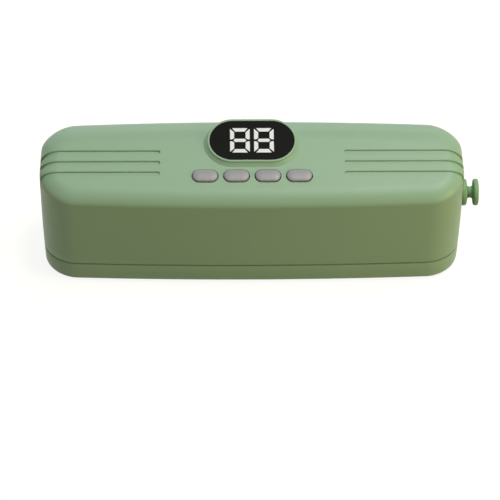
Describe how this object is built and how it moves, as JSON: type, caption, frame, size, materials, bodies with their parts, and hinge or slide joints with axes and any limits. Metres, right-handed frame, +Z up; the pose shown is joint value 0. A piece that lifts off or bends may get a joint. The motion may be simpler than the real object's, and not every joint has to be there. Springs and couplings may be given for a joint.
{
  "type": "vacuum sealer",
  "caption": "Long rounded vacuum sealer: a hinged lid with sloped display, buttons and pump closes on a flat base; a pull-out plug stops the side port.",
  "frame": {"origin": "middle foot's face on the table, the centre of the housing's footprint with the side plug and hinges left out", "axes": "+X along the machine towards the side plug, +Y towards the hinge at the back, +Z up; the control panel faces -Y and up"},
  "size_m": [0.25, 0.0726, 0.0811],
  "materials": {
    "housing": "satin mint green moulded plastic",
    "deck": "matt green moulded plastic",
    "foot_rubber": "matt dark grey rubber",
    "screw_steel": "zinc plated steel",
    "gasket": "closed-cell white foam rubber",
    "press_silicone": "red-brown silicone",
    "heater_board": "brown phenolic board",
    "resistance_ribbon": "nickel-chrome ribbon",
    "tape": "brown coated glass cloth tape",
    "brass": "turned brass",
    "lens": "black acrylic",
    "segments": "white light-guide plastic",
    "module": "dark grey plastic",
    "circuit_board": "green solder mask",
    "components": "black moulded packages",
    "switch_body": "dark grey plastic",
    "plunger": "black plastic",
    "button": "satin grey plastic",
    "motor_steel": "plated steel can",
    "magnet": "dark ferrite",
    "pump_plastic": "black glass-filled plastic",
    "rotor": "laminated steel with copper windings",
    "diaphragm": "black rubber",
    "valve_plastic": "light grey plastic",
    "fitting": "ivory plastic",
    "hose": "translucent white silicone",
    "plug_silicone": "green silicone",
    "cell": "blue sleeved cell",
    "nickel": "nickel",
    "lead": "red insulated wire"
  },
  "bodies": {
    "base": {"base_shell": "housing", "base_deck": "deck", "feet": "foot_rubber", "base_screws": "screw_steel", "lower_gasket": "gasket", "press_strip": "press_silicone", "hinge_pins": "screw_steel"},
    "lid": {"top_shell": "housing", "lid_deck": "deck", "lid_screws": "screw_steel", "upper_gasket": "gasket", "heater_bar": "heater_board", "heating_strip": "resistance_ribbon", "ptfe_tape": "tape", "heater_terminals": "brass", "display_lens": "lens", "display_segments": "segments", "display_module": "module", "control_board": "circuit_board", "board_parts": "components", "board_screws": "screw_steel", "tact_switches": "switch_body", "motor_can": "motor_steel", "motor_magnets": "magnet", "motor_end_cap": "pump_plastic", "pump_crankcase": "pump_plastic", "pump_diaphragm": "diaphragm", "pump_valve_plate": "valve_plastic", "pump_head": "pump_plastic", "pump_screws": "screw_steel", "pump_cradle": "foot_rubber", "chamber_fitting": "fitting", "vacuum_tee": "fitting", "chamber_hose": "hose", "pump_hose": "hose", "port_hose": "hose", "accessory_port": "fitting", "battery_cells": "cell", "battery_tray": "pump_plastic", "battery_tabs": "nickel", "charge_board": "circuit_board", "usb_socket": "nickel", "motor_leads": "lead", "battery_leads": "lead", "heater_leads": "lead"},
    "pulse_key": {"pulse_button": "button", "pulse_plunger": "plunger"},
    "seal_key": {"seal_button": "button", "seal_plunger": "plunger"},
    "vacuum_key": {"vacuum_button": "button", "vacuum_plunger": "plunger"},
    "power_key": {"power_button": "button", "power_plunger": "plunger"},
    "plug": {"port_plug": "plug_silicone"},
    "rotor": {"motor_rotor": "rotor", "eccentric": "brass"}
  },
  "joints": [
    {"name": "lid_hinge", "type": "hinge", "parent": "base", "child": "lid", "pos_m": [0, 0.03625, 0.014], "axis": [-1, 0, 0], "range_deg": [0, 60]},
    {"name": "pulse_press", "type": "slide", "parent": "lid", "child": "pulse_key", "axis": [0, 0.2756, -0.9613], "range_m": [0, 0.0008], "stiffness_N_per_m": 1500, "springref_m": -0.0008},
    {"name": "seal_press", "type": "slide", "parent": "lid", "child": "seal_key", "axis": [0, 0.2756, -0.9613], "range_m": [0, 0.0008], "stiffness_N_per_m": 1500, "springref_m": -0.0008},
    {"name": "vacuum_press", "type": "slide", "parent": "lid", "child": "vacuum_key", "axis": [0, 0.2756, -0.9613], "range_m": [0, 0.0008], "stiffness_N_per_m": 1500, "springref_m": -0.0008},
    {"name": "power_press", "type": "slide", "parent": "lid", "child": "power_key", "axis": [0, 0.2756, -0.9613], "range_m": [0, 0.0008], "stiffness_N_per_m": 1500, "springref_m": -0.0008},
    {"name": "plug_pull", "type": "slide", "parent": "lid", "child": "plug", "axis": [1, 0, 0], "range_m": [0, 0.014]},
    {"name": "pump_spin", "type": "hinge", "parent": "lid", "child": "rotor", "pos_m": [0.053, 0, 0.035], "axis": [1, 0, 0], "continuous": true, "deforming": ["pump_diaphragm"]}
  ]
}
